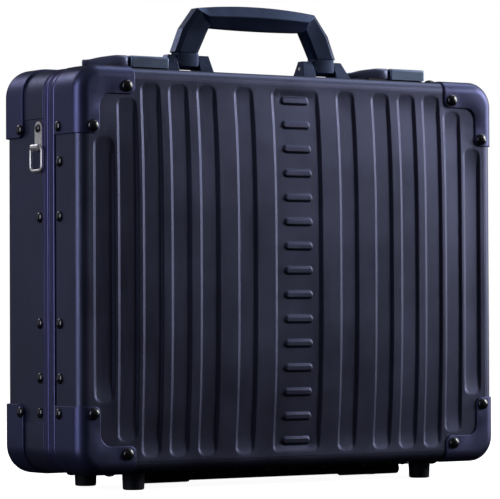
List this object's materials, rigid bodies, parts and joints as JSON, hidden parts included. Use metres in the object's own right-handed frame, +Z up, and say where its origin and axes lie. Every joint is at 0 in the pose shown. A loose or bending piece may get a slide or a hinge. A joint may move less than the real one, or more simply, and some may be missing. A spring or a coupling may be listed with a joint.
{
  "type": "hard-shell attache case",
  "caption": "Hard-shell aluminium attache case standing on feet: ribbed lid and base on a long hinge, folding handle, combination latches, riveted corner guards and strap rings.",
  "frame": {"origin": "middle of the footprint, on the plane of the four feet", "axes": "+X along the case's length, to the right seen from the lid's face; -Y out of the lid's face, which is the front; +Z up, towards the handle"},
  "size_m": [0.4676, 0.1388, 0.4336],
  "materials": {
    "shell": "satin anodised",
    "rail": "satin anodised",
    "guard": "satin anodised",
    "lining": "woven, matt",
    "foot": "moulded",
    "dark_fitting": "black, satin",
    "dial": "moulded",
    "handle": "moulded, satin",
    "latch": "satin",
    "steel": "nickel plated"
  },
  "bodies": {
    "base": {"base_corner_cover_bottom_left": "guard", "base_corner_cover_bottom_right": "guard", "base_corner_cover_top_left": "guard", "base_corner_cover_top_right": "guard", "base_foot_left": "foot", "base_foot_right": "foot", "base_guard_bottom_left": "guard", "base_guard_bottom_right": "guard", "base_guard_top_left": "guard", "base_guard_top_right": "guard", "base_lining": "lining", "base_pad": "lining", "base_rail": "rail", "base_shell": "shell", "dial_axle_left": "steel", "dial_axle_right": "steel", "handle_bracket_left": "handle", "handle_bracket_right": "handle", "handle_pin_left": "steel", "handle_pin_right": "steel", "hinge_leaf_base": "dark_fitting", "hinge_pin": "steel", "latch_housing_left": "latch", "latch_housing_right": "latch", "latch_lever_pin_left": "steel", "latch_lever_pin_right": "steel", "latch_plate_left": "dark_fitting", "latch_plate_right": "dark_fitting", "strap_tab_left": "steel", "strap_tab_right": "steel"},
    "lid": {"hinge_leaf_lid": "dark_fitting", "latch_strike_left": "steel", "latch_strike_right": "steel", "lid_foot_left": "foot", "lid_foot_right": "foot", "lid_guard_bottom_left": "guard", "lid_guard_bottom_right": "guard", "lid_guard_top_left": "guard", "lid_guard_top_right": "guard", "lid_lining": "lining", "lid_pad": "lining", "lid_rail": "rail", "lid_shell": "shell"},
    "handle": {"handle": "handle"},
    "strap_ring_left": {"strap_ring_left": "steel"},
    "strap_ring_right": {"strap_ring_right": "steel"},
    "latch_lever_left": {"latch_lever_left": "latch"},
    "release_button_left": {"release_button_left": "latch"},
    "dial_left_1": {"dial_left_1": "dial"},
    "dial_left_2": {"dial_left_2": "dial"},
    "dial_left_3": {"dial_left_3": "dial"},
    "latch_lever_right": {"latch_lever_right": "latch"},
    "release_button_right": {"release_button_right": "latch"},
    "dial_right_1": {"dial_right_1": "dial"},
    "dial_right_2": {"dial_right_2": "dial"},
    "dial_right_3": {"dial_right_3": "dial"}
  },
  "joints": [
    {"name": "lid_hinge", "type": "hinge", "parent": "base", "child": "lid", "pos_m": [0, -0.01265, 0.0083], "axis": [1, 0, 0], "range_deg": [0, 95]},
    {"name": "handle_pivot", "type": "hinge", "parent": "base", "child": "handle", "pos_m": [0, 0.00205, 0.38], "axis": [1, 0, 0], "range_deg": [-85, 85]},
    {"name": "strap_ring_left_swing", "type": "hinge", "parent": "base", "child": "strap_ring_left", "pos_m": [-0.2307, 0.00235, 0.2998], "axis": [0, 1, 0], "range_deg": [0, 150]},
    {"name": "strap_ring_right_swing", "type": "hinge", "parent": "base", "child": "strap_ring_right", "pos_m": [0.2307, 0.00235, 0.2998], "axis": [0, -1, 0], "range_deg": [0, 150]},
    {"name": "latch_lever_left_lift", "type": "hinge", "parent": "base", "child": "latch_lever_left", "pos_m": [-0.1638, 0.00455, 0.377], "axis": [-1, 0, 0], "range_deg": [0, 60]},
    {"name": "release_button_left_slide", "type": "slide", "parent": "base", "child": "release_button_left", "axis": [1, 0, 0], "range_m": [0, 0.004], "stiffness_N_per_m": 400},
    {"name": "dial_left_1_turn", "type": "hinge", "parent": "base", "child": "dial_left_1", "pos_m": [-0.1328, -0.00755, 0.3783], "axis": [1, 0, 0], "continuous": true},
    {"name": "dial_left_2_turn", "type": "hinge", "parent": "base", "child": "dial_left_2", "pos_m": [-0.1263, -0.00755, 0.3783], "axis": [1, 0, 0], "continuous": true},
    {"name": "dial_left_3_turn", "type": "hinge", "parent": "base", "child": "dial_left_3", "pos_m": [-0.1198, -0.00755, 0.3783], "axis": [1, 0, 0], "continuous": true},
    {"name": "latch_lever_right_lift", "type": "hinge", "parent": "base", "child": "latch_lever_right", "pos_m": [0.1238, 0.00455, 0.377], "axis": [-1, 0, 0], "range_deg": [0, 60]},
    {"name": "release_button_right_slide", "type": "slide", "parent": "base", "child": "release_button_right", "axis": [1, 0, 0], "range_m": [0, 0.004], "stiffness_N_per_m": 400},
    {"name": "dial_right_1_turn", "type": "hinge", "parent": "base", "child": "dial_right_1", "pos_m": [0.1548, -0.00755, 0.3783], "axis": [1, 0, 0], "continuous": true},
    {"name": "dial_right_2_turn", "type": "hinge", "parent": "base", "child": "dial_right_2", "pos_m": [0.1613, -0.00755, 0.3783], "axis": [1, 0, 0], "continuous": true},
    {"name": "dial_right_3_turn", "type": "hinge", "parent": "base", "child": "dial_right_3", "pos_m": [0.1678, -0.00755, 0.3783], "axis": [1, 0, 0], "continuous": true}
  ]
}
